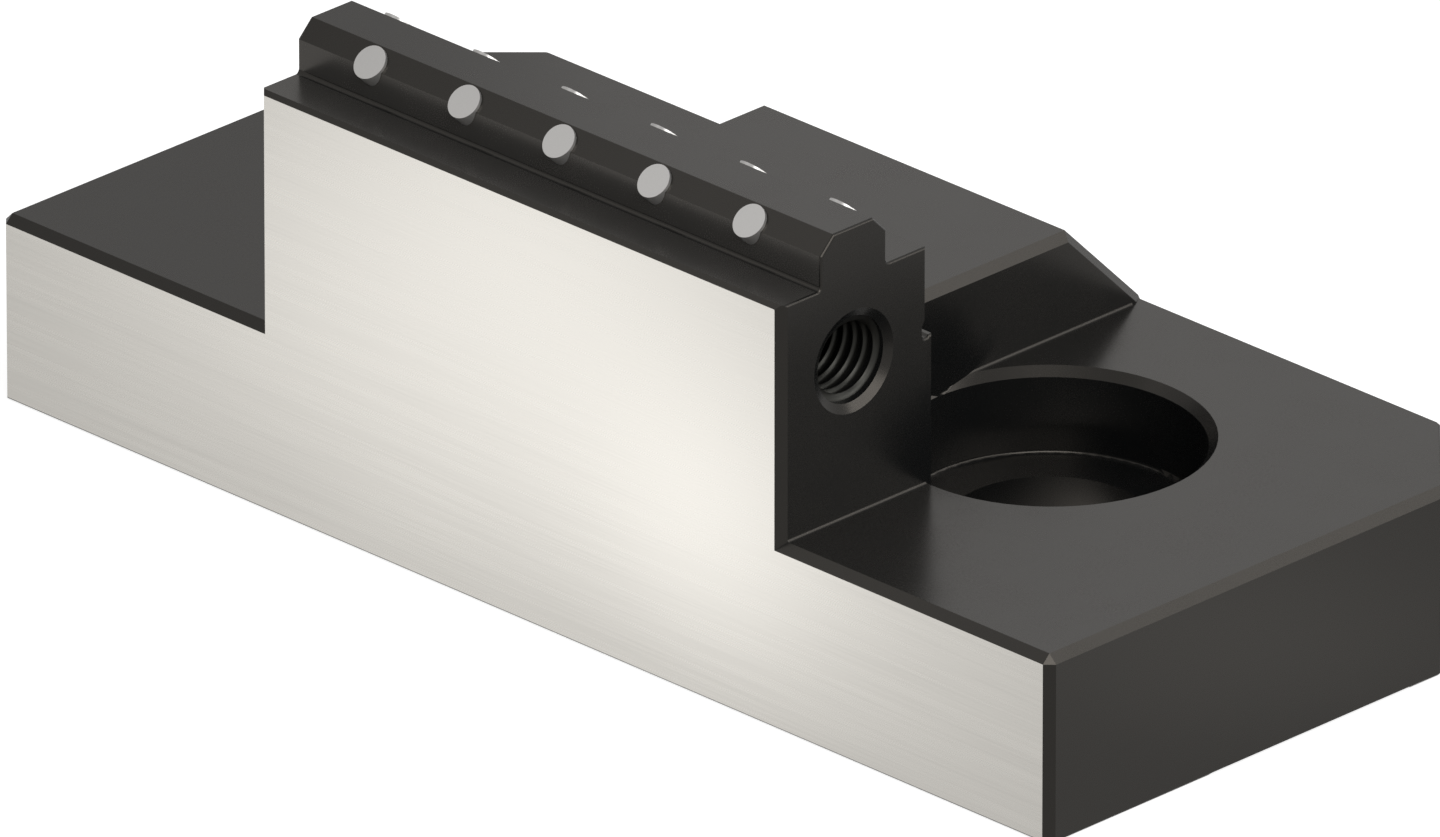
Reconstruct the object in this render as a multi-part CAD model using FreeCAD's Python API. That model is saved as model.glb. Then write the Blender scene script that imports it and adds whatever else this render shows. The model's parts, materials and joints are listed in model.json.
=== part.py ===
import FreeCAD, Part
import math
import os

# A clamping jaw for a large parallel gripper, machined from one block of steel, with round carbide
# pins set into both flanks of its upper edge. All sizes are in millimetres.
# The origin is at the middle of the base plate's underside. X runs along the jaw, Y runs from the
# ground front face (negative) to the rear, and Z points up.

# Base plate
base_length = 160.0
base_depth = 72.0
base_height = 22.0
corner_cut = 12.0
corner_round = 1.0

# Edge sizes used all over the part
edge_chamfer = 1.0
edge_break = 0.3
foot_round = 0.3

# Shallow relief that leaves two seating pads on the underside
relief_depth = 0.3
relief_width = 30.8
relief_round = 0.3

# Upright wall behind the front face, with a step and an undercut at the rear
wall_length = 79.6
wall_depth_below_step = 23.0
wall_step = 1.0
step_height = 39.3
ledge_height = 49.8
front_ledge_width = 6.0
front_ledge_chamfer = 0.5
undercut_reach = 2.0
undercut_flat = 1.2
undercut_in_wall = 0.42
undercut_in_ledge = 0.2
undercut_round = 0.3

# Narrow clamping tip on top of the wall
tip_width = 10.0
tip_height = 6.0
tip_chamfer = 2.0
tip_foot_round = 0.5

# Stiffening block behind the wall
block_length = 47.0
block_height = 33.6
slope_foot_lift = 0.2

# Counterbored screw holes, for M20 screws
screw_hole_diameter = 22.0
counterbore_diameter = 34.0
counterbore_depth = 10.0
counterbore_floor_round = 0.4
counterbore_side_gap = 0.25

# Threaded holes in the wall's ends, bored to the major diameter of an M10 thread
end_hole_diameter = 10.0
end_hole_mouth_diameter = 12.0
end_hole_mouth_angle = 120.0
end_hole_depth = 20.0
end_hole_height = 40.0
drill_point_angle = 118.0

# Carbide pins, square to the tip's chamfers
pin_diameter = 4.0
pin_length = 6.0
pin_bond_gap = 0.02
pin_stand_out = 0.38
pin_drop = 0.82
pin_inner_chamfer = 0.3
front_pin_count = 5
front_pin_margin = 11.0
rear_pin_count = 6
rear_pin_margin = 6.0

# How far a cutting solid reaches past the surface that it cuts, and how far a fillet solid is buried
reach = 1.0

# Places that follow from the sizes above
front_y = -base_depth / 2
rear_y = base_depth / 2
base_end_x = base_length / 2
wall_end_x = wall_length / 2
wall_rear_y = front_y + wall_depth_below_step
wall_upper_rear_y = wall_rear_y - wall_step
tip_front_y = front_y + front_ledge_width
tip_rear_y = tip_front_y + tip_width
wall_middle_y = (tip_front_y + tip_rear_y) / 2
top_height = ledge_height + tip_height
block_end_x = block_length / 2
screw_x = block_end_x + counterbore_side_gap + counterbore_diameter / 2
screw_y = wall_rear_y + counterbore_diameter / 2

AXIS_X = FreeCAD.Vector(1, 0, 0)
AXIS_Y = FreeCAD.Vector(0, 1, 0)
AXIS_Z = FreeCAD.Vector(0, 0, 1)


def rounded_wire(corners, place):
    """A closed outline through (a, b, radius) corners; place turns a and b into a point in space."""
    points = [FreeCAD.Vector(a, b, 0) for a, b, radius in corners]
    starts = []
    middles = []
    ends = []
    for index, (a, b, radius) in enumerate(corners):
        corner = points[index]
        to_last = (points[index - 1] - corner).normalize()
        to_next = (points[(index + 1) % len(points)] - corner).normalize()
        half_angle = to_last.getAngle(to_next) / 2
        setback = radius / math.tan(half_angle)
        starts.append(corner + to_last * setback)
        ends.append(corner + to_next * setback)
        bisector = (to_last + to_next).normalize()
        middles.append(corner + bisector * (radius / math.sin(half_angle) - radius))
    edges = []
    for index, (a, b, radius) in enumerate(corners):
        start, middle, end = [place(p.x, p.y) for p in (starts[index], middles[index], ends[index])]
        following = starts[(index + 1) % len(corners)]
        if radius > 0:
            edges.append(Part.Arc(start, middle, end).toShape())
        edges.append(Part.LineSegment(end, place(following.x, following.y)).toShape())
    return Part.Wire(edges)


def bar_along_x(corners, start_x, end_x):
    """A solid bar whose outline is given as (y, z, radius) corners."""
    outline = rounded_wire(corners, lambda y, z: FreeCAD.Vector(start_x, y, z))
    return Part.Face(outline).extrude(AXIS_X * (end_x - start_x))


def inset(corners, distance):
    """The same clockwise outline moved inwards by a distance, with its corner roundings adjusted."""
    moved = []
    for index, (a, b, radius) in enumerate(corners):
        last_a, last_b, last_radius = corners[index - 1]
        next_a, next_b, next_radius = corners[(index + 1) % len(corners)]
        arriving = FreeCAD.Vector(a - last_a, b - last_b, 0).normalize()
        leaving = FreeCAD.Vector(next_a - a, next_b - b, 0).normalize()
        inward_1 = FreeCAD.Vector(arriving.y, -arriving.x, 0)
        inward_2 = FreeCAD.Vector(leaving.y, -leaving.x, 0)
        step = (inward_1 + inward_2) * (distance / (1 + inward_1.dot(inward_2)))
        turns_inwards = arriving.cross(leaving).z > 0
        change = distance if turns_inwards else -distance
        moved.append((a + step.x, b + step.y, radius + change if radius > 0 else 0))
    return moved


def bar_with_broken_ends(corners, place, low, high, size):
    """A solid bar from low to high whose two ends have a small bevel all round.

    The corners are (a, b, radius), and place turns a, b and the way along the bar into a point.
    """
    smaller = inset(corners, size)
    sections = ((low, smaller), (low + size, corners), (high - size, corners), (high, smaller))
    wires = [
        rounded_wire(outline, lambda a, b, along=along: place(a, b, along))
        for along, outline in sections
    ]
    return Part.makeLoft(wires, True, True)


def prism(origin, inward_a, inward_b, outline, run):
    """A solid with a straight run, whose outline is given as (a, b) steps along two directions."""
    corners = [(a, b, 0) for a, b in outline]
    wire = rounded_wire(corners, lambda a, b: origin + inward_a * a + inward_b * b)
    return Part.Face(wire).extrude(run)


def bevel_cutter(start, end, inward_a, inward_b, size):
    """What a 45 degree bevel takes off a straight edge; the two directions lie in its faces."""
    along = (end - start).normalize()
    outline = [(-reach, -reach), (size + reach, -reach), (-reach, size + reach)]
    return prism(start - along * reach, inward_a, inward_b, outline, end - start + along * (2 * reach))


def corner_cutter(corner, inward_x, inward_y, inward_z, size):
    """What the small three-sided facet takes off a corner where three bevels of one size meet."""
    length = 2 * size + 3 * reach
    apex = corner - (inward_x + inward_y + inward_z) * reach
    x_point = apex + inward_x * length
    y_point = apex + inward_y * length
    z_point = apex + inward_z * length
    triangles = [
        (x_point, y_point, z_point),
        (apex, x_point, y_point),
        (apex, y_point, z_point),
        (apex, z_point, x_point),
    ]
    faces = [Part.Face(Part.makePolygon([a, b, c, a])) for a, b, c in triangles]
    return Part.Solid(Part.Shell(faces))


def foot_fillet(start, end, out_a, out_b):
    """Material that rounds an inner corner; the two directions leave the corner along its faces."""
    place = lambda a, b: start + out_a * a + out_b * b
    slack = foot_round * (1 - math.sqrt(0.5))
    arc = Part.Arc(place(0, foot_round), place(slack, slack), place(foot_round, 0)).toShape()
    path = [(foot_round, 0), (foot_round, -reach), (-reach, -reach), (-reach, foot_round), (0, foot_round)]
    lines = [
        Part.LineSegment(place(*path[i]), place(*path[i + 1])).toShape()
        for i in range(len(path) - 1)
    ]
    return Part.Face(Part.Wire([arc] + lines)).extrude(end - start)


def turned_along(axis_point, axis, across, corners):
    """A turned solid from (distance along the axis, radius, corner rounding) corners."""
    place = lambda along, radius: axis_point + axis * along + across * radius
    return Part.Face(rounded_wire(corners, place)).revolve(axis_point, axis, 360)


def make_base():
    """The base plate with its cut rear corners, bevelled edges and underside relief."""
    outline = [
        (base_end_x, front_y, 0),
        (-base_end_x, front_y, 0),
        (-base_end_x, rear_y - corner_cut, corner_round),
        (-base_end_x + corner_cut, rear_y, corner_round),
        (base_end_x - corner_cut, rear_y, corner_round),
        (base_end_x, rear_y - corner_cut, corner_round),
    ]
    base = bar_with_broken_ends(outline, FreeCAD.Vector, 0, base_height, edge_break)
    top = AXIS_Z * base_height
    front_left = FreeCAD.Vector(-base_end_x, front_y, 0)
    front_right = FreeCAD.Vector(base_end_x, front_y, 0)
    cutters = [bevel_cutter(front_left + top, front_right + top, AXIS_Y, -AXIS_Z, edge_chamfer)]
    for corner, inward in ((front_left, AXIS_X), (front_right, -AXIS_X)):
        end_rear = corner + AXIS_Y * base_depth
        cutters.append(bevel_cutter(corner, corner + top, inward, AXIS_Y, edge_chamfer))
        cutters.append(bevel_cutter(corner + top, end_rear + top, inward, -AXIS_Z, edge_chamfer))
        cutters.append(corner_cutter(corner + top, inward, AXIS_Y, -AXIS_Z, edge_chamfer))
    relief_front_y = screw_y - relief_width / 2
    relief_rear_y = screw_y + relief_width / 2
    relief = [
        (relief_front_y, -reach, 0),
        (relief_rear_y + reach, -reach, 0),
        (relief_rear_y - relief_depth, relief_depth, 0),
        (relief_front_y, relief_depth, relief_round),
    ]
    cutters.append(bar_along_x(relief, -base_end_x - reach, base_end_x + reach))
    return base.cut(cutters)


def make_screw_hole_cutter(x):
    """What one counterbored screw hole takes away, from the underside relief to the base's top."""
    hole_r = screw_hole_diameter / 2
    bore_r = counterbore_diameter / 2
    floor_z = base_height - counterbore_depth
    corners = [
        (relief_depth - reach, 0, 0),
        (relief_depth - reach, hole_r + edge_break + reach, 0),
        (relief_depth + edge_break, hole_r, 0),
        (floor_z, hole_r, 0),
        (floor_z, bore_r, counterbore_floor_round),
        (base_height - edge_chamfer, bore_r, 0),
        (base_height + reach, bore_r + edge_chamfer + reach, 0),
        (base_height + reach, 0, 0),
    ]
    return turned_along(FreeCAD.Vector(x, screw_y, 0), AXIS_Z, AXIS_X, corners)


def make_wall():
    """The upright wall with its ledges, its narrow tip and the undercut above the rear step."""
    profile = [
        (front_y, base_height / 2, 0),
        (front_y, ledge_height - front_ledge_chamfer, 0),
        (front_y + front_ledge_chamfer, ledge_height, 0),
        (tip_front_y, ledge_height, tip_foot_round),
        (tip_front_y, top_height - tip_chamfer, 0),
        (tip_front_y + tip_chamfer, top_height, 0),
        (tip_rear_y - tip_chamfer, top_height, 0),
        (tip_rear_y, top_height - tip_chamfer, 0),
        (tip_rear_y, ledge_height, tip_foot_round),
        (wall_upper_rear_y, ledge_height, 0),
        (wall_upper_rear_y, step_height + undercut_reach, 0),
        (wall_upper_rear_y - undercut_in_wall, step_height + undercut_flat, 0),
        (wall_upper_rear_y - undercut_in_wall, step_height - undercut_in_ledge, undercut_round),
        (wall_rear_y - wall_step / 2 - undercut_in_ledge, step_height - undercut_in_ledge, 0),
        (wall_rear_y - wall_step / 2, step_height, 0),
        (wall_rear_y, step_height, 0),
        (wall_rear_y, base_height / 2, 0),
    ]
    along_x = lambda y, z, x: FreeCAD.Vector(x, y, z)
    wall = bar_with_broken_ends(profile, along_x, -wall_end_x, wall_end_x, edge_break)
    cutters = []
    for x, inward in ((-wall_end_x, AXIS_X), (wall_end_x, -AXIS_X)):
        foot = FreeCAD.Vector(x, front_y, 0)
        head = FreeCAD.Vector(x, front_y, top_height)
        cutters.append(bevel_cutter(foot, head, inward, AXIS_Y, edge_chamfer))
    return wall.cut(cutters)


def make_block():
    """The stiffening block behind the wall, with its sloped rear and bevelled side edges."""
    slope_foot_z = base_height + slope_foot_lift
    slope_top_y = rear_y - (block_height - slope_foot_z)
    profile = [
        (wall_middle_y, base_height / 2, 0),
        (rear_y, base_height / 2, 0),
        (rear_y, slope_foot_z, 0),
        (slope_top_y, block_height, 0),
        (wall_middle_y, block_height, 0),
    ]
    block = bar_along_x(profile, -block_end_x, block_end_x)
    slope_down = FreeCAD.Vector(0, 1, -1).normalize()
    slope_inward = FreeCAD.Vector(0, -1, -1).normalize()
    cutters = []
    for x, inward, size in ((-block_end_x, AXIS_X, edge_break), (block_end_x, -AXIS_X, edge_chamfer)):
        front_end = FreeCAD.Vector(x, wall_middle_y, block_height)
        slope_top = FreeCAD.Vector(x, slope_top_y, block_height)
        slope_foot = FreeCAD.Vector(x, rear_y, slope_foot_z)
        cutters.append(bevel_cutter(front_end, slope_top, inward, -AXIS_Z, size))
        cutters.append(bevel_cutter(slope_top - slope_down * size, slope_foot, inward, slope_inward, size))
    return block.cut(cutters)


def make_foot_fillets():
    """Small fillets where the wall and the block stand on the base."""
    fillets = []
    for side in (-1, 1):
        out = AXIS_X * side
        wall_front = FreeCAD.Vector(side * wall_end_x, front_y + edge_chamfer, base_height)
        wall_rear = FreeCAD.Vector(side * wall_end_x, wall_rear_y, base_height)
        block_front = FreeCAD.Vector(side * block_end_x, wall_rear_y, base_height)
        block_rear = FreeCAD.Vector(side * block_end_x, rear_y - 2 * edge_chamfer, base_height)
        fillets.append(foot_fillet(wall_front, wall_rear, out, AXIS_Z))
        fillets.append(foot_fillet(block_front, wall_rear, AXIS_Y, AXIS_Z))
        fillets.append(foot_fillet(block_front, block_rear, out, AXIS_Z))
    return fillets


def make_end_hole_cutter(side):
    """What the countersunk hole in one end of the wall takes away, with its drill point."""
    hole_r = end_hole_diameter / 2
    mouth_r = end_hole_mouth_diameter / 2
    mouth_depth = (mouth_r - hole_r) / math.tan(math.radians(end_hole_mouth_angle / 2))
    mouth_flare = reach * (mouth_r - hole_r) / mouth_depth
    point_length = hole_r / math.tan(math.radians(drill_point_angle / 2))
    corners = [
        (-reach, 0, 0),
        (-reach, mouth_r + mouth_flare, 0),
        (mouth_depth, hole_r, 0),
        (end_hole_depth, hole_r, 0),
        (end_hole_depth + point_length, 0, 0),
    ]
    mouth = FreeCAD.Vector(side * wall_end_x, wall_middle_y, end_hole_height)
    return turned_along(mouth, AXIS_X * -side, AXIS_Z, corners)


def pin_places():
    """Names, face centres and outward directions of the pins, front row first."""
    rows = (
        ("front", front_pin_count, front_pin_margin, tip_front_y, -1),
        ("rear", rear_pin_count, rear_pin_margin, tip_rear_y, 1),
    )
    places = []
    for row, count, margin, face_y, side in rows:
        outward = FreeCAD.Vector(0, side, 1).normalize()
        down_slope = FreeCAD.Vector(0, side, -1).normalize()
        pitch = (wall_length - 2 * margin) / (count - 1)
        for index in range(count):
            x = -wall_length / 2 + margin + index * pitch
            middle = FreeCAD.Vector(x, face_y - side * tip_chamfer / 2, top_height - tip_chamfer / 2)
            face = middle + down_slope * pin_drop + outward * pin_stand_out
            places.append((f"{row}_grip_pin_{index + 1}", face, outward))
    return places


def make_pin(face, outward):
    """One pin, from its ground face down to the bevelled end that sits on the bore's floor."""
    seat = face - outward * pin_length
    radius = pin_diameter / 2
    corners = [
        (0, 0, 0),
        (0, radius - pin_inner_chamfer, 0),
        (pin_inner_chamfer, radius, 0),
        (pin_length, radius, 0),
        (pin_length, 0, 0),
    ]
    return turned_along(seat, outward, AXIS_X, corners)


def make_pin_bore_cutter(face, outward):
    """What the blind bore of one pin takes away; its floor is the pin's seat."""
    seat = face - outward * pin_length
    bore_r = pin_diameter / 2 + pin_bond_gap
    return Part.makeCylinder(bore_r, pin_length + pin_diameter, seat, outward)


def make_jaw_body():
    """The one-piece steel jaw."""
    ends = (-1, 1)
    body = make_base().fuse(make_foot_fillets())
    body = body.cut([make_screw_hole_cutter(side * screw_x) for side in ends])
    body = body.fuse([make_wall(), make_block()])
    body = body.cut([make_end_hole_cutter(side) for side in ends])
    body = body.cut([make_pin_bore_cutter(face, outward) for name, face, outward in pin_places()])
    return body.removeSplitter()


def write_piece(name, shape):
    """Writes one piece as its own file, and says what it holds."""
    solid = shape.Solids[0] if len(shape.Solids) == 1 else shape
    solid.exportStep(f"parts/{name}.step")
    box = solid.BoundBox
    print(f"{name}: solids {len(shape.Solids)}, valid {shape.isValid()}, volume {shape.Volume:.1f},"
          f" box {box.XLength:.2f} x {box.YLength:.2f} x {box.ZLength:.2f}")


os.makedirs("parts", exist_ok=True)
write_piece("jaw_body", make_jaw_body())
for pin_name, pin_face, pin_outward in pin_places():
    write_piece(pin_name, make_pin(pin_face, pin_outward))
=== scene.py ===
import json
import math

import bmesh
import bpy
from mathutils import Matrix, Vector


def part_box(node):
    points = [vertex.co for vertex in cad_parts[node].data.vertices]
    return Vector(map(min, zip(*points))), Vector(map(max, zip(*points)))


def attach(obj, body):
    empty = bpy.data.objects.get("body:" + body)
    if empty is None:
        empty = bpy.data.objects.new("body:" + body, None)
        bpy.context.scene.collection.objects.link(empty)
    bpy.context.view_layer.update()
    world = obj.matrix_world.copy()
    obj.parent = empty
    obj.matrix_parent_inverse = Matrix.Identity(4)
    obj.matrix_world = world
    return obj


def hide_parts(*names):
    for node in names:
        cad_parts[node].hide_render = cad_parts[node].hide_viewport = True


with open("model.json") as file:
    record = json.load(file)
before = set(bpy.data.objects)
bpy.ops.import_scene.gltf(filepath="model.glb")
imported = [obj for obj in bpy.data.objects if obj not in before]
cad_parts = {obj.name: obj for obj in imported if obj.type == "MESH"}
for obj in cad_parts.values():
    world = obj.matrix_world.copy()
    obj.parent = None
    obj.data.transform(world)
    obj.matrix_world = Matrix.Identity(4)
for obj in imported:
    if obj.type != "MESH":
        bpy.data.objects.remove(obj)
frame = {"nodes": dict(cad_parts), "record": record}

bl_info = {
    "name": "Clamping Jaw Looks",
    "version": (1, 0, 0),
    "blender": (4, 5, 0),
    "location": "3D View > Sidebar > Jaw",
    "description": "Finishes a blackened steel clamping jaw with ground faces, cut threads and grip pins",
    "category": "Object",
}

# Everything is in metres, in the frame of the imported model. X runs along the jaw, Y from the ground
# front face to the rear, and Z points up from the two seating pads.
MM = 0.001
MERGE_DISTANCE = 0.0001 * MM
BODY_NODE = "jaw_body"
PIN_NODES = sorted(name for name in frame["nodes"] if name != BODY_NODE)
THREADED_MOUNTS = [m for m in frame["record"]["mounts"] if m["kind"] == "threaded_hole"]
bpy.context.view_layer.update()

# Lamps of the studio. The azimuth is counted from the front towards the right end, and angles are in
# degrees. Each lamp faces its aim, lengths are in metres, and a radiance of 1 is as bright as white.
SOFT_BOXES = (
    {"name": "key", "azimuth": 54.0, "elevation": 41.0, "aim": (0.0, 0.0, 0.02), "distance": 0.7,
     "width": 0.5, "height": 0.34, "radiance": 3.4},
    {"name": "right", "azimuth": 105.0, "elevation": 18.0, "aim": (0.0, 0.0, 0.02), "distance": 0.7,
     "width": 0.7, "height": 0.25, "radiance": 2.8},
    {"name": "rear_right", "azimuth": 146.6, "elevation": 39.9, "aim": (0.0, 0.0, 0.02), "distance": 0.7,
     "width": 0.3, "height": 0.3, "radiance": 1.5},
    {"name": "rear_left", "azimuth": 225.0, "elevation": 25.0, "aim": (0.028, 0.028, 0.03), "distance": 0.3,
     "width": 0.13, "height": 0.2, "radiance": 0.27},
    {"name": "front_left", "azimuth": -56.6, "elevation": 39.9, "aim": (0.06, -0.035, 0.022),
     "distance": 0.25, "width": 0.09, "height": 0.09, "radiance": 0.34},
)

# Painted pools of light on the floor, which glow only in reflections, so that the ground front face shows
# painted highlights. The centre is the point of the ground front face that mirrors it to the camera, as
# metres along the face and up from the floor.
FRONT_POOLS = (
    {"centre": (0.003, 0.0275), "half_width": (0.069, 0.028), "strength": 0.5},
    {"centre": (0.0296, 0.0235), "half_width": (0.0176, 0.0176), "strength": 0.33},
    {"centre": (0.003, 0.056), "half_width": (0.034, 0.020), "strength": 0.5},
)
# The centres of these are on the floor itself: a painted pool of light beside the right end, and under the
# right screw hole a painted pool of light and a painted dark patch whose strength is below zero.
FLOOR_POOLS = (
    {"centre": (0.106, 0.016), "half_width": (0.026, 0.026), "strength": 0.3},
    {"centre": (0.037, -0.003), "half_width": (0.009, 0.009), "strength": 0.8},
    {"centre": (0.052, 0.012), "half_width": (0.014, 0.014), "strength": -0.5},
)
# The floor that a point of the front face mirrors lies this many times the point's height ahead of it.
MIRROR_REACH = 1.517


class Field:
    """A socket that gives a value, a vector or a colour. Sums and products of values add Math nodes."""

    def __init__(self, builder, socket):
        self.builder = builder
        self.socket = socket

    def other(self, name):
        """Another output of the same node."""
        return Field(self.builder, self.socket.node.outputs[name])

    def math(self, operation, *operands):
        """The result of one Math node on two or three values."""
        inputs = dict(enumerate(operands))
        return self.builder.add("ShaderNodeMath", {"operation": operation}, inputs)

    def __add__(self, value):
        return self.math("ADD", self, value)

    def __radd__(self, value):
        return self.math("ADD", value, self)

    def __sub__(self, value):
        return self.math("SUBTRACT", self, value)

    def __rsub__(self, value):
        return self.math("SUBTRACT", value, self)

    def __mul__(self, value):
        return self.math("MULTIPLY", self, value)

    def __rmul__(self, value):
        return self.math("MULTIPLY", value, self)

    def __truediv__(self, value):
        return self.math("DIVIDE", self, value)

    def __rtruediv__(self, value):
        return self.math("DIVIDE", value, self)

    def __neg__(self):
        return self.math("MULTIPLY", self, -1.0)

    def larger(self, value):
        """The larger of two values."""
        return self.math("MAXIMUM", self, value)

    def root(self):
        """The square root of a value."""
        return self.math("SQRT", self)

    def power_of_e(self):
        """The number e raised to a value."""
        return self.math("EXPONENT", self)


class Builder:
    """Adds nodes to one node tree, of a material, of the world or of geometry."""

    def __init__(self, tree):
        self.tree = tree
        self.tree.nodes.clear()

    def add(self, kind, settings=None, inputs=None, output=None):
        """Adds a node, gives it its settings first and then its inputs, and returns one output.

        Inputs go by name or place. The output is the first that the settings enable, or a named one.
        """
        node = self.tree.nodes.new(kind)
        for name, value in (settings or {}).items():
            setattr(node, name, value)
        for key, value in (inputs or {}).items():
            named = [s for s in node.inputs if s.enabled and s.name == key]
            self.feed(named[0] if named else node.inputs[key], value)
        if output:
            return Field(self, node.outputs[output])
        return next((Field(self, s) for s in node.outputs if s.enabled), None)

    def feed(self, socket, value):
        """Links a field to a socket, or sets the socket to a plain value."""
        if isinstance(value, Field):
            self.tree.links.new(value.socket, socket)
        else:
            socket.default_value = value

    def axes(self, vector):
        """The three components of a vector."""
        parts = self.add("ShaderNodeSeparateXYZ", inputs={0: vector})
        return [parts.other(axis) for axis in "XYZ"]

    def vector(self, x, y, z):
        """A vector from three components."""
        return self.add("ShaderNodeCombineXYZ", inputs={0: x, 1: y, 2: z})

    def noise(self, place, detail=2.0, roughness=0.5):
        """Smooth noise between 0 and 1, with features about one unit of the place wide."""
        inputs = {"Vector": place, "Scale": 1.0, "Detail": detail, "Roughness": roughness}
        return self.add("ShaderNodeTexNoise", inputs=inputs)

    def blend(self, share, first, second):
        """A colour that goes from the first to the second as the share goes from 0 to 1."""
        settings = {"data_type": "RGBA"}
        return self.add("ShaderNodeMix", settings, {"Factor": share, "A": first, "B": second})

    def scaled(self, vector, factor):
        """A vector with every component times one number."""
        inputs = {0: vector, 1: (factor, factor, factor)}
        return self.add("ShaderNodeVectorMath", {"operation": "MULTIPLY"}, inputs)


def opaque(colour):
    """An RGB colour with its alpha."""
    return (*colour, 1.0)


def new_material(name):
    """An empty node material and the builder for its nodes."""
    material = bpy.data.materials.new(name)
    material.use_nodes = True
    return material, Builder(material.node_tree)


def principled_surface(builder, inputs):
    """Ends a material in one Principled shader."""
    shader = builder.add("ShaderNodeBsdfPrincipled", inputs=inputs)
    builder.add("ShaderNodeOutputMaterial", inputs={"Surface": shader})


def oxide_material(name, dark, light, finish):
    """Black oxide on milled steel, between two tones, with a satin sheen and a faint grain."""
    material, builder = new_material(name)
    place = builder.add("ShaderNodeTexCoord", output="Object")
    fine = builder.noise(builder.scaled(place, 1.0 / finish.grain_size), detail=3.0)
    broad = builder.noise(builder.scaled(place, 1.0 / finish.patch_size), detail=2.0)
    cloud = broad * 0.5 + fine * 0.5
    fine_swing, broad_swing = 0.12, 0.08
    bump = {"Strength": 0.5, "Distance": finish.grain_height, "Height": fine}
    principled_surface(builder, {
        "Base Color": builder.blend(cloud, opaque(dark), opaque(light)),
        "Roughness": finish.oxide_roughness + (fine - 0.5) * fine_swing + (broad - 0.5) * broad_swing,
        "Specular Tint": opaque(finish.oxide_sheen),
        "Normal": builder.add("ShaderNodeBump", inputs=bump),
    })
    return material


def ground_material(finish):
    """Bare ground steel, with fine and broad grinding marks along the jaw."""
    material, builder = new_material("ground_steel")
    x, y, z = builder.axes(builder.add("ShaderNodeTexCoord", output="Object"))
    across = y + z
    length = finish.streak_length
    width = finish.streak_width
    fine = builder.noise(builder.vector(x / length, across / width, 0.0), detail=3.0)
    longer, wider, apart = 2.5, 5.0, 4.0
    broad_place = builder.vector(x / (length * longer), across / (width * wider), apart)
    broad = builder.noise(broad_place, detail=2.0)
    streaks = fine * 0.55 + broad * 0.45
    roughness_swing = 0.25
    bump = {"Strength": 0.4, "Distance": finish.streak_height, "Height": fine}
    principled_surface(builder, {
        "Base Color": builder.blend(streaks, opaque(finish.ground_low), opaque(finish.ground_high)),
        "Metallic": 1.0,
        "Roughness": finish.ground_roughness + (streaks - 0.5) * roughness_swing,
        "Normal": builder.add("ShaderNodeBump", inputs=bump),
    })
    return material


def carbide_material(finish):
    """Grey carbide with the fine grain of its ground ends."""
    material, builder = new_material("carbide")
    place = builder.add("ShaderNodeTexCoord", output="Object")
    fine = builder.noise(builder.scaled(place, 1.0 / finish.carbide_grain), detail=3.0)
    roughness_swing = 0.1
    principled_surface(builder, {
        "Base Color": builder.blend(fine, opaque(finish.carbide_low), opaque(finish.carbide_high)),
        "Metallic": finish.carbide_metal,
        "Roughness": finish.carbide_roughness + (fine - 0.5) * roughness_swing,
    })
    return material


def wear(thing, material):
    """Makes one material the finish of a whole piece."""
    thing.data.materials.clear()
    thing.data.materials.append(material)


class FlatRegion:
    """Neighbouring faces of a mesh that lie in one plane."""

    SAME_PLANE = math.radians(0.5)

    def __init__(self, seed, found):
        """Gathers the faces from a first one on, and enters the region in found for each of them."""
        self.faces = [seed]
        found[seed] = self
        for face in self.faces:
            for other in (f for edge in face.edges for f in edge.link_faces):
                if other not in found and face.normal.angle(other.normal, 0.0) < self.SAME_PLANE:
                    found[other] = self
                    self.faces.append(other)
        self.area = sum(face.calc_area() for face in self.faces)
        self.normal = sum((f.normal * f.calc_area() for f in self.faces), Vector()).normalized()
        self.width = max(
            2.0 * face.calc_area() / max(edge.calc_length() for edge in face.edges) for face in self.faces
        )


def corner_normal(region, neighbours, finish):
    """How a corner of a face shades: as its own plane, or round where it is curved or a narrow break."""
    angles = {other: region.normal.angle(other.normal) for other in neighbours}
    wide = any(
        angle < finish.curve_turn and other.width > finish.break_width for other, angle in angles.items()
    )
    limit = finish.curve_turn if wide else finish.break_turn
    near = [other for other, angle in angles.items() if angle < limit]
    return sum((other.normal * other.area ** 2 for other in near), Vector()).normalized()


def finish_number(region, low, finish):
    """Which finish a plane has: 0 is black oxide, 1 is ground steel, and 2 is oxide in lighter tones with a
    painted sheen.

    The front face, the rear face above the undercut and the seating pads are ground. The front of the tip
    and the ledge before it get the lighter oxide, which stands for rubbing by workpieces and also paints a
    sheen of reflected light on them.
    """
    skin = 0.01 * MM
    square_on = 0.999
    place = region.faces[0].calc_center_median()
    front, rear = -region.normal.y > square_on, region.normal.y > square_on
    up, down = region.normal.z > square_on, -region.normal.z > square_on
    above_undercut = finish.rear_face_low < place.z < finish.rear_face_high
    at_rear = abs(place.y - finish.rear_face_y) < skin and above_undercut
    if (front and place.y < low.y + skin) or (down and place.z < low.z + skin) or (rear and at_rear):
        return 1
    # The tip's front flank and the ledge get lighter oxide: rubbing, and also a painted sheen of reflected
    # light.
    on_flank = abs(place.y - finish.flank_y) < skin and place.z > finish.ledge_height
    on_ledge = abs(place.z - finish.ledge_height) < skin and place.y < finish.flank_y
    return 2 if (front and on_flank) or (up and on_ledge) else 0


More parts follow.
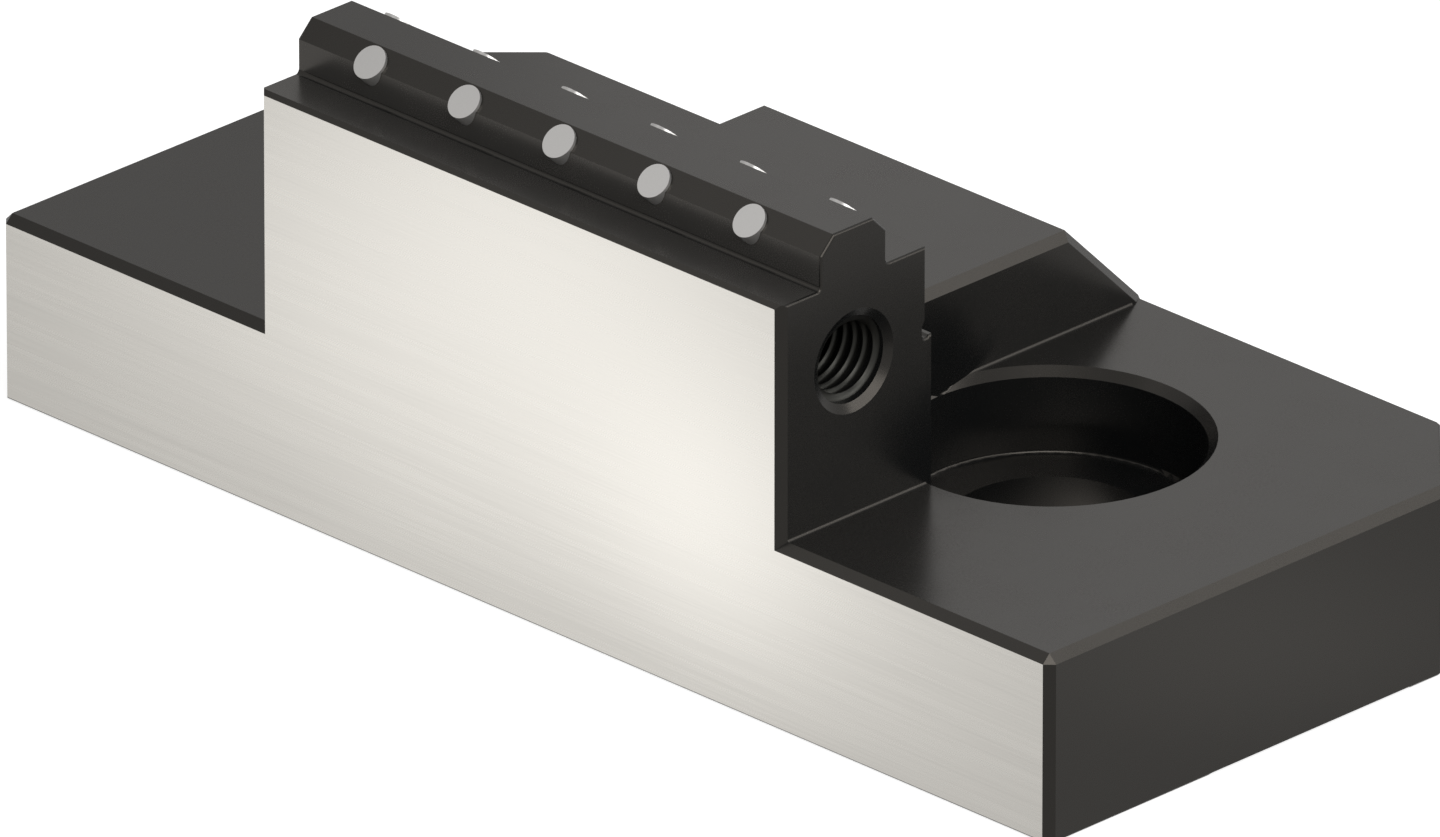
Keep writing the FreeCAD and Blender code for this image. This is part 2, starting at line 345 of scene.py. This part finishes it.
def crisp_mesh(node, name, finish):
    """A merged copy of a CAD node: flat faces shade flat, while curves and edge breaks shade round.

    Each face's material index is the number of its finish.
    """
    shape = bmesh.new()
    shape.from_mesh(node.data)
    bmesh.ops.remove_doubles(shape, verts=shape.verts, dist=MERGE_DISTANCE)
    bmesh.ops.dissolve_degenerate(shape, edges=shape.edges, dist=MERGE_DISTANCE)
    shape.normal_update()
    low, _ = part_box(node.name)
    found = {}
    for face in shape.faces:
        if face not in found:
            region = FlatRegion(face, found)
            number = finish_number(region, low, finish)
            for member in region.faces:
                member.material_index = number
    around = {vertex: {found[face] for face in vertex.link_faces} for vertex in shape.verts}
    normals = [
        corner_normal(found[face], around[corner.vert], finish)
        for face in shape.faces
        for corner in face.loops
    ]
    mesh = bpy.data.meshes.new(name)
    shape.to_mesh(mesh)
    shape.free()
    mesh.shade_smooth()
    mesh.normals_split_custom_set(normals)
    return mesh


def show(mesh):
    """Puts a mesh in the scene as a piece of the jaw, hung under the root body."""
    piece = bpy.data.objects.new(mesh.name, mesh)
    bpy.context.scene.collection.objects.link(piece)
    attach(piece, "root")
    return piece


def thread_ridge_tree():
    """Geometry nodes for the ridge of an inner thread: it winds up +Z from the mouth of its bore."""
    tree = bpy.data.node_groups.new("thread_ridge", "GeometryNodeTree")
    sizes = (
        "Bore Radius", "Crest Radius", "Pitch", "Thread Depth", "Lead In", "Root Flat", "Crest Flat",
        "Mouth Slope",
    )
    for name in sizes:
        tree.interface.new_socket(name, in_out="INPUT", socket_type="NodeSocketFloat")
    tree.interface.new_socket("Material", in_out="INPUT", socket_type="NodeSocketMaterial")
    tree.interface.new_socket("Geometry", in_out="OUTPUT", socket_type="NodeSocketGeometry")
    builder = Builder(tree)
    given = builder.add("NodeGroupInput")
    bore, crest, pitch, depth, lead_in, root_flat, crest_flat, slope = [given.other(name) for name in sizes]
    bury = 0.02 * MM
    steps_in_turn = 64
    ridge_height = bore - crest + bury
    spiral = builder.add(
        "GeometryNodeCurveSpiral",
        inputs={
            "Resolution": steps_in_turn,
            "Rotations": (depth + lead_in) / pitch,
            "Start Radius": (bore + crest + bury) * 0.5,
            "End Radius": (bore + crest + bury) * 0.5,
            "Height": depth + lead_in,
            "Reverse": True,
        },
    )
    upright = builder.add("GeometryNodeSetCurveNormal", {"mode": "Z_UP"}, {"Curve": spiral})
    profile = builder.add(
        "GeometryNodeCurvePrimitiveQuadrilateral",
        {"mode": "TRAPEZOID"},
        {
            "Height": ridge_height,
            "Bottom Width": pitch - root_flat,
            "Top Width": crest_flat,
            "Offset": 0.0,
        },
    )
    turned = builder.add(
        "GeometryNodeTransform",
        inputs={"Geometry": profile, "Rotation": (0.0, 0.0, math.radians(90.0))},
    )
    ridge = builder.add(
        "GeometryNodeCurveToMesh",
        inputs={"Curve": upright, "Profile Curve": turned, "Fill Caps": True},
    )
    x, y, height = builder.axes(builder.add("GeometryNodeInputPosition"))
    z = height - lead_in
    radius = (x * x + y * y).root()
    countersunk = bore + bury - z * slope
    run_out = bore + bury - (depth - z) * slope
    share = radius.larger(countersunk).larger(run_out) / radius
    place = builder.vector(x * share, y * share, z.larger(0.0))
    shaped = builder.add("GeometryNodeSetPosition", inputs={"Geometry": ridge, "Position": place})
    realized = builder.add("GeometryNodeRealizeInstances", inputs={"Geometry": shaped})
    finished = builder.add(
        "GeometryNodeSetMaterial",
        inputs={"Geometry": realized, "Material": given.other("Material")},
    )
    builder.add("NodeGroupOutput", inputs={"Geometry": finished})
    return tree


def set_inputs(modifier, values):
    """Sets a geometry nodes modifier's inputs, found by name and written by identifier."""
    for item in modifier.node_group.interface.items_tree:
        if item.in_out == "INPUT":
            modifier[item.identifier] = values[item.name]


def plain_mesh(carrier, name):
    """The evaluated mesh of a carrier object, as a mesh with clean outward faces."""
    depsgraph = bpy.context.evaluated_depsgraph_get()
    mesh = bpy.data.meshes.new_from_object(carrier.evaluated_get(depsgraph))
    mesh.name = name
    shape = bmesh.new()
    shape.from_mesh(mesh)
    bmesh.ops.remove_doubles(shape, verts=shape.verts, dist=MERGE_DISTANCE)
    bmesh.ops.recalc_face_normals(shape, faces=shape.faces)
    shape.to_mesh(mesh)
    shape.free()
    return mesh


class JawFinish(bpy.types.PropertyGroup):
    """Colours and grain of the steel and the pins."""

    oxide_dark: bpy.props.FloatVectorProperty(
        name="Oxide Dark",
        description="Darker tone of the blackened steel",
        subtype="COLOR",
        default=(0.0035, 0.0045, 0.005),
        min=0.0,
        max=1.0,
    )
    oxide_warm: bpy.props.FloatVectorProperty(
        name="Oxide Warm",
        description="Lighter tone of the blackened steel",
        subtype="COLOR",
        default=(0.006, 0.006, 0.006),
        min=0.0,
        max=1.0,
    )
    # Oxide in lighter tones for the tip's front and its ledge: it stands for rubbing by workpieces and also
    # paints a sheen of reflected light there.
    rub_and_sheen_dark: bpy.props.FloatVectorProperty(
        name="Rubbed Dark",
        description="Darker tone of the oxide that workpieces have rubbed",
        subtype="COLOR",
        default=(0.024, 0.0235, 0.0225),
        min=0.0,
        max=1.0,
    )
    rub_and_sheen_light: bpy.props.FloatVectorProperty(
        name="Rubbed Light",
        description="Lighter tone of the oxide that workpieces have rubbed",
        subtype="COLOR",
        default=(0.038, 0.037, 0.035),
        min=0.0,
        max=1.0,
    )
    oxide_sheen: bpy.props.FloatVectorProperty(
        name="Oxide Sheen",
        description="Tint of the blackened steel's reflections",
        subtype="COLOR",
        default=(1.0, 0.92, 0.82),
        min=0.0,
        max=1.0,
    )
    oxide_roughness: bpy.props.FloatProperty(
        name="Oxide Roughness",
        description="How far the blackened steel spreads its reflections",
        subtype="FACTOR",
        default=0.26,
        min=0.0,
        max=1.0,
    )
    grain_size: bpy.props.FloatProperty(
        name="Grain Size",
        description="Width of the satin grain on the blackened steel",
        unit="LENGTH",
        default=0.15 * MM,
        min=0.01 * MM,
    )
    grain_height: bpy.props.FloatProperty(
        name="Grain Height",
        description="Height of the satin grain",
        unit="LENGTH",
        default=0.0015 * MM,
        min=0.0,
    )
    patch_size: bpy.props.FloatProperty(
        name="Patch Size",
        description="Width of the faint patches on the blackened steel",
        unit="LENGTH",
        default=6.0 * MM,
        min=0.1 * MM,
    )
    ground_low: bpy.props.FloatVectorProperty(
        name="Ground Low",
        description="Darker streaks of the ground faces",
        subtype="COLOR",
        default=(0.64, 0.625, 0.588),
        min=0.0,
        max=1.0,
    )
    ground_high: bpy.props.FloatVectorProperty(
        name="Ground High",
        description="Lighter streaks of the ground faces",
        subtype="COLOR",
        default=(0.85, 0.83, 0.782),
        min=0.0,
        max=1.0,
    )
    ground_roughness: bpy.props.FloatProperty(
        name="Ground Roughness",
        description="How far the ground faces spread their reflections",
        subtype="FACTOR",
        default=0.26,
        min=0.0,
        max=1.0,
    )
    streak_length: bpy.props.FloatProperty(
        name="Streak Length",
        description="Length of one grinding streak",
        unit="LENGTH",
        default=22.0 * MM,
        min=0.1 * MM,
    )
    streak_width: bpy.props.FloatProperty(
        name="Streak Width",
        description="Width of one grinding streak",
        unit="LENGTH",
        default=0.3 * MM,
        min=0.01 * MM,
    )
    streak_height: bpy.props.FloatProperty(
        name="Streak Height",
        description="Height of the grinding streaks",
        unit="LENGTH",
        default=0.001 * MM,
        min=0.0,
    )
    rear_face_y: bpy.props.FloatProperty(
        name="Rear Ground Face",
        description="Place of the ground face at the wall's rear, above the undercut",
        unit="LENGTH",
        default=-14.0 * MM,
    )
    rear_face_low: bpy.props.FloatProperty(
        name="Rear Face Foot",
        description="Height at which the rear ground face starts",
        unit="LENGTH",
        default=41.0 * MM,
    )
    rear_face_high: bpy.props.FloatProperty(
        name="Rear Face Head",
        description="Height at which the rear ground face ends",
        unit="LENGTH",
        default=50.0 * MM,
    )
    flank_y: bpy.props.FloatProperty(
        name="Tip Front",
        description="Place of the tip's front flank",
        unit="LENGTH",
        default=-30.0 * MM,
    )
    ledge_height: bpy.props.FloatProperty(
        name="Ledge Height",
        description="Height of the ledges beside the tip",
        unit="LENGTH",
        default=49.8 * MM,
    )
    carbide_low: bpy.props.FloatVectorProperty(
        name="Carbide Low",
        description="Darker tone of the pins",
        subtype="COLOR",
        default=(0.51, 0.504, 0.494),
        min=0.0,
        max=1.0,
    )
    carbide_high: bpy.props.FloatVectorProperty(
        name="Carbide High",
        description="Lighter tone of the pins",
        subtype="COLOR",
        default=(0.61, 0.603, 0.592),
        min=0.0,
        max=1.0,
    )
    carbide_roughness: bpy.props.FloatProperty(
        name="Carbide Roughness",
        description="How far the pins spread their reflections",
        subtype="FACTOR",
        default=0.3,
        min=0.0,
        max=1.0,
    )
    carbide_metal: bpy.props.FloatProperty(
        name="Carbide Metal",
        description="How much of the pins' light is a metal's reflection",
        subtype="FACTOR",
        default=0.75,
        min=0.0,
        max=1.0,
    )
    carbide_grain: bpy.props.FloatProperty(
        name="Carbide Grain",
        description="Width of the grain on the pins",
        unit="LENGTH",
        default=0.08 * MM,
        min=0.01 * MM,
    )
    break_width: bpy.props.FloatProperty(
        name="Edge Break Width",
        description="Faces narrower than this shade as one round edge",
        unit="LENGTH",
        default=0.45 * MM,
        min=0.0,
    )
    break_turn: bpy.props.FloatProperty(
        name="Edge Break Turn",
        description="Largest angle over which a narrow edge shades round",
        subtype="ANGLE",
        default=math.radians(46.0),
    )
    curve_turn: bpy.props.FloatProperty(
        name="Curve Turn",
        description="Largest angle over which a curved face shades round",
        subtype="ANGLE",
        default=math.radians(24.0),
    )


class JawThread(bpy.types.PropertyGroup):
    """Sizes of the thread in the wall's end holes."""

    pitch: bpy.props.FloatProperty(
        name="Pitch",
        description="Distance from one ridge to the next",
        unit="LENGTH",
        default=1.5 * MM,
        min=0.1 * MM,
    )
    crest_radius: bpy.props.FloatProperty(
        name="Crest Radius",
        description="Radius at which the ridges end, towards the hole's axis",
        unit="LENGTH",
        default=4.19 * MM,
        min=0.1 * MM,
    )
    root_share: bpy.props.FloatProperty(
        name="Root Share",
        description="Share of the pitch that is flat between two ridges",
        subtype="FACTOR",
        default=0.62,
        min=0.0,
        max=1.0,
    )
    crest_share: bpy.props.FloatProperty(
        name="Crest Share",
        description="Share of the pitch that is flat on top of a ridge",
        subtype="FACTOR",
        default=0.12,
        min=0.0,
        max=1.0,
    )
    run_out: bpy.props.FloatProperty(
        name="Plain End",
        description="Length of the bore's inner end that has no ridges",
        unit="LENGTH",
        default=3.0 * MM,
        min=0.0,
    )
    lead_in: bpy.props.FloatProperty(
        name="Lead In",
        description="Length of the ridge that the countersink cuts away",
        unit="LENGTH",
        default=1.46 * MM,
        min=0.0,
    )
    mouth_angle: bpy.props.FloatProperty(
        name="Mouth Angle",
        description="Full angle of the countersink at the hole's mouth",
        subtype="ANGLE",
        default=math.radians(120.0),
    )
    sharp_angle: bpy.props.FloatProperty(
        name="Sharp Angle",
        description="Edges of the ridge that turn further than this stay sharp",
        subtype="ANGLE",
        default=math.radians(100.0),
    )


class JawStage(bpy.types.PropertyGroup):
    """Camera, light and floor."""

    azimuth: bpy.props.FloatProperty(
        name="Azimuth",
        description="Turn of the camera round the jaw, from the front towards the right end",
        subtype="ANGLE",
        default=math.radians(45.0),
    )
    elevation: bpy.props.FloatProperty(
        name="Elevation",
        description="Height of the camera above the horizon",
        subtype="ANGLE",
        default=math.radians(25.0),
    )
    distance: bpy.props.FloatProperty(
        name="Distance",
        description="Distance from the camera to the point it looks at",
        unit="LENGTH",
        default=4306.2 * MM,
    )
    target: bpy.props.FloatVectorProperty(
        name="Target",
        description="Point that the camera looks at",
        subtype="XYZ",
        unit="LENGTH",
        default=(4.609 * MM, -10.0 * MM, 16.70 * MM),
    )
    lens: bpy.props.FloatProperty(
        name="Lens",
        description="Focal length in millimetres, long enough for a nearly parallel view",
        default=1000.0,
    )
    light_colour: bpy.props.FloatVectorProperty(
        name="Light Colour",
        description="Colour of the surroundings and the lamps",
        subtype="COLOR",
        default=(1.0, 0.99, 0.98),
        min=0.0,
        max=1.0,
    )
    dome_strength: bpy.props.FloatProperty(
        name="Dome Strength",
        description="Brightness of the white surroundings that light the jaw",
        default=0.58,
        min=0.0,
    )
    floor_colour: bpy.props.FloatVectorProperty(
        name="Floor Colour",
        description="Colour of the pale floor",
        subtype="COLOR",
        default=(0.5, 0.5, 0.5),
        min=0.0,
        max=1.0,
    )
    floor_lift: bpy.props.FloatProperty(
        name="Floor Lift",
        description="White that the camera sees on top of the lit floor",
        default=0.75,
        min=0.0,
    )
    floor_shine: bpy.props.FloatProperty(
        name="Floor Shine",
        description="Brightness of the floor in the jaw's reflections",
        default=0.61,
        min=0.0,
    )
    floor_size: bpy.props.FloatProperty(
        name="Floor Size",
        description="Length of the floor's sides",
        unit="LENGTH",
        default=60.0,
        min=1.0,
    )
    floor_gap: bpy.props.FloatProperty(
        name="Floor Gap",
        description="Gap between the seating pads and the floor",
        unit="LENGTH",
        default=0.02 * MM,
        min=0.0,
    )
    clear_white: bpy.props.FloatProperty(
        name="Clear White",
        description="Brightness of the backdrop that the camera sees, where 1 is white",
        default=1.1,
        min=0.0,
    )


class JAW_OT_finish_steel(bpy.types.Operator):
    """Makes the jaw's body with crisp faces, and gives it its blackened and ground finish"""

    bl_idname = "jaw.finish_steel"
    bl_label = "Finish Steel Body"

    def execute(self, context):
        """Makes the body piece and puts it in the CAD body's place."""
        finish = context.scene.jaw_finish
        body = show(crisp_mesh(frame["nodes"][BODY_NODE], "blackened_jaw", finish))
        body.data.materials.append(
            oxide_material("blackened_steel", finish.oxide_dark, finish.oxide_warm, finish)
        )
        body.data.materials.append(ground_material(finish))
        # The third finish lightens the oxide on the tip's front and its ledge: rubbing, and also a painted
        # sheen of reflected light.
        body.data.materials.append(
            oxide_material("rub_and_sheen_steel", finish.rub_and_sheen_dark, finish.rub_and_sheen_light, finish)
        )
        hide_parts(BODY_NODE)
        return {"FINISHED"}


class JAW_OT_finish_pins(bpy.types.Operator):
    """Gives the grip pins their carbide finish"""

    bl_idname = "jaw.finish_pins"
    bl_label = "Finish Grip Pins"

    def execute(self, context):
        """Assigns the carbide material to every pin."""
        material = carbide_material(context.scene.jaw_finish)
        for name in PIN_NODES:
            wear(frame["nodes"][name], material)
        return {"FINISHED"}


class JAW_OT_cut_threads(bpy.types.Operator):
    """Winds the thread ridges into the holes in the wall's ends"""

    bl_idname = "jaw.cut_threads"
    bl_label = "Cut End Threads"

    def execute(self, context):
        """Makes the ridge of each threaded hole from geometry nodes and puts it in place."""
        thread = context.scene.jaw_thread
        tree = thread_ridge_tree()
        for mount in THREADED_MOUNTS:
            bore_length = mount["dims"]["length_mm"] * MM
            carrier = bpy.data.objects.new("ridge_carrier", bpy.data.meshes.new("ridge_carrier"))
            context.scene.collection.objects.link(carrier)
            modifier = carrier.modifiers.new("ridge", "NODES")
            modifier.node_group = tree
            values = {
                "Bore Radius": mount["dims"]["r_mm"] * MM,
                "Crest Radius": thread.crest_radius,
                "Pitch": thread.pitch,
                "Thread Depth": bore_length - thread.run_out,
                "Lead In": thread.lead_in,
                "Root Flat": thread.pitch * thread.root_share,
                "Crest Flat": thread.pitch * thread.crest_share,
                "Mouth Slope": math.tan(thread.mouth_angle / 2.0),
                "Material": bpy.data.materials["blackened_steel"],
            }
            set_inputs(modifier, values)
            mesh = plain_mesh(carrier, mount["name"].replace("hole", "thread"))
            bpy.data.objects.remove(carrier)
            inward = -Vector(mount["axis"])
            mouth = Vector(mount["pos_m"]) - inward * (bore_length / 2.0)
            turn = inward.to_track_quat("Z", "Y").to_matrix().to_4x4()
            mesh.transform(Matrix.Translation(mouth) @ turn)
            mesh.shade_smooth()
            mesh.set_sharp_from_angle(angle=thread.sharp_angle)
            show(mesh)
        return {"FINISHED"}


class JAW_OT_set_stage(bpy.types.Operator):
    """Sets up the floor, the light and the camera"""

    bl_idname = "jaw.set_stage"
    bl_label = "Set Stage"

    def execute(self, context):
        """Makes the stage from its properties."""
        stage = context.scene.jaw_stage
        make_floor(stage)
        make_world(stage)
        make_camera(stage)
        for box in SOFT_BOXES:
            make_soft_box(box, stage)
        context.scene.view_settings.view_transform = "Standard"
        return {"FINISHED"}


def make_floor(stage):
    """A plain floor just under the jaw."""
    half = stage.floor_size / 2.0
    corners = [(-half, -half), (half, -half), (half, half), (-half, half)]
    mesh = bpy.data.meshes.new("floor")
    mesh.from_pydata([(x, y, -stage.floor_gap) for x, y in corners], [], [(0, 1, 2, 3)])
    floor = bpy.data.objects.new("floor", mesh)
    bpy.context.scene.collection.objects.link(floor)
    wear(floor, floor_material(stage))


def floor_material(stage):
    """A pale floor that is white round the jaw and keeps its soft shadow. In the jaw's reflections it glows
    evenly, with painted pools of light and a painted dark patch on top.
    """
    material, builder = new_material("floor")
    seen = builder.add("ShaderNodeLightPath", output="Is Camera Ray")
    mirrored = seen.other("Is Glossy Ray") + seen.other("Is Transmission Ray")
    x, y, _ = builder.axes(builder.add("ShaderNodeTexCoord", output="Object"))
    low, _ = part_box(BODY_NODE)
    ahead = low.y - y
    shine = stage.floor_shine
    for spot in FLOOR_POOLS:
        shine = shine + pool(x, y, spot)
    for spot in FRONT_POOLS:
        shine = shine + pool(x + ahead, ahead / MIRROR_REACH, spot)
    pale = builder.add("ShaderNodeBsdfDiffuse", inputs={"Color": opaque(stage.floor_colour)})
    lift = builder.add("ShaderNodeEmission", inputs={"Strength": seen * stage.floor_lift})
    plain = builder.add("ShaderNodeAddShader", inputs={0: pale, 1: lift})
    tint = opaque(stage.light_colour)
    shining = builder.add("ShaderNodeEmission", inputs={"Color": tint, "Strength": shine})
    both = builder.add("ShaderNodeMixShader", inputs={0: mirrored, 1: plain, 2: shining})
    builder.add("ShaderNodeOutputMaterial", inputs={"Surface": both})
    return material


def pool(across, along, spot):
    """A painted pool of light on the floor, seen only in reflections, as strong as it says at its centre.
    Below zero it is a painted dark patch.
    """
    aside = (across - spot["centre"][0]) / spot["half_width"][0]
    ahead = (along - spot["centre"][1]) / spot["half_width"][1]
    return (-(aside * aside + ahead * ahead)).power_of_e() * spot["strength"]


def direction(azimuth, elevation):
    """The unit vector towards an azimuth, counted from the front to the right, and an elevation."""
    level = math.cos(elevation)
    return Vector((math.sin(azimuth) * level, -math.cos(azimuth) * level, math.sin(elevation)))


def make_soft_box(box, stage):
    """A rectangular lamp that faces the jaw."""
    data = bpy.data.lights.new(box["name"], "AREA")
    data.shape = "RECTANGLE"
    data.size = box["width"]
    data.size_y = box["height"]
    data.energy = box["radiance"] * math.pi * box["width"] * box["height"]
    data.color = stage.light_colour
    lamp = bpy.data.objects.new(box["name"], data)
    bpy.context.scene.collection.objects.link(lamp)
    towards = direction(math.radians(box["azimuth"]), math.radians(box["elevation"]))
    lamp.location = Vector(box["aim"]) + towards * box["distance"]
    lamp.rotation_mode = "QUATERNION"
    lamp.rotation_quaternion = towards.to_track_quat("Z", "Y")
    lamp.visible_camera = False


def make_world(stage):
    """White surroundings, seen by the camera as pure white and by the jaw at the dome's strength."""
    world = bpy.data.worlds.new("studio")
    bpy.context.scene.world = world
    world.use_nodes = True
    builder = Builder(world.node_tree)
    camera_ray = builder.add("ShaderNodeLightPath", output="Is Camera Ray")
    strength = camera_ray * (stage.clear_white - stage.dome_strength) + stage.dome_strength
    colour = opaque(stage.light_colour)
    dome = builder.add("ShaderNodeBackground", inputs={"Color": colour, "Strength": strength})
    builder.add("ShaderNodeOutputWorld", inputs={"Surface": dome})


def make_camera(stage):
    """A camera with a long lens at the photograph's angle."""
    data = bpy.data.cameras.new("camera")
    camera = bpy.data.objects.new("camera", data)
    bpy.context.scene.collection.objects.link(camera)
    bpy.context.scene.camera = camera
    back = direction(stage.azimuth, stage.elevation)
    camera.rotation_mode = "QUATERNION"
    camera.rotation_quaternion = (-back).to_track_quat("-Z", "Y")
    camera.location = Vector(stage.target) + back * stage.distance
    data.sensor_width = 36.0
    data.lens = stage.lens
    data.clip_start = 0.01
    data.clip_end = 100.0


class JAW_PT_panel(bpy.types.Panel):
    """The jaw's sizes, colours and steps"""

    bl_label = "Clamping Jaw"
    bl_idname = "JAW_PT_panel"
    bl_space_type = "VIEW_3D"
    bl_region_type = "UI"
    bl_category = "Jaw"

    def draw(self, context):
        """Lists every property and every operator."""
        for name in GROUPS:
            settings = getattr(context.scene, name)
            box = self.layout.box()
            for key in settings.bl_rna.properties.keys():
                if key not in ("rna_type", "name"):
                    box.prop(settings, key)
        for step in STEPS:
            self.layout.operator(step.bl_idname)


GROUPS = {"jaw_finish": JawFinish, "jaw_thread": JawThread, "jaw_stage": JawStage}
STEPS = (JAW_OT_finish_steel, JAW_OT_finish_pins, JAW_OT_cut_threads, JAW_OT_set_stage)
CLASSES = (*GROUPS.values(), *STEPS, JAW_PT_panel)


def register():
    """Makes the classes and the scene's settings known to Blender."""
    for part in CLASSES:
        bpy.utils.register_class(part)
    for name, group in GROUPS.items():
        setattr(bpy.types.Scene, name, bpy.props.PointerProperty(type=group))


def unregister():
    """Takes the classes and the scene's settings away again."""
    for name in GROUPS:
        delattr(bpy.types.Scene, name)
    for part in reversed(CLASSES):
        bpy.utils.unregister_class(part)


def main():
    """Builds the looks in order."""
    register()
    bpy.ops.jaw.finish_steel()
    bpy.ops.jaw.finish_pins()
    bpy.ops.jaw.cut_threads()
    bpy.ops.jaw.set_stage()


if __name__ == "__main__":
    main()
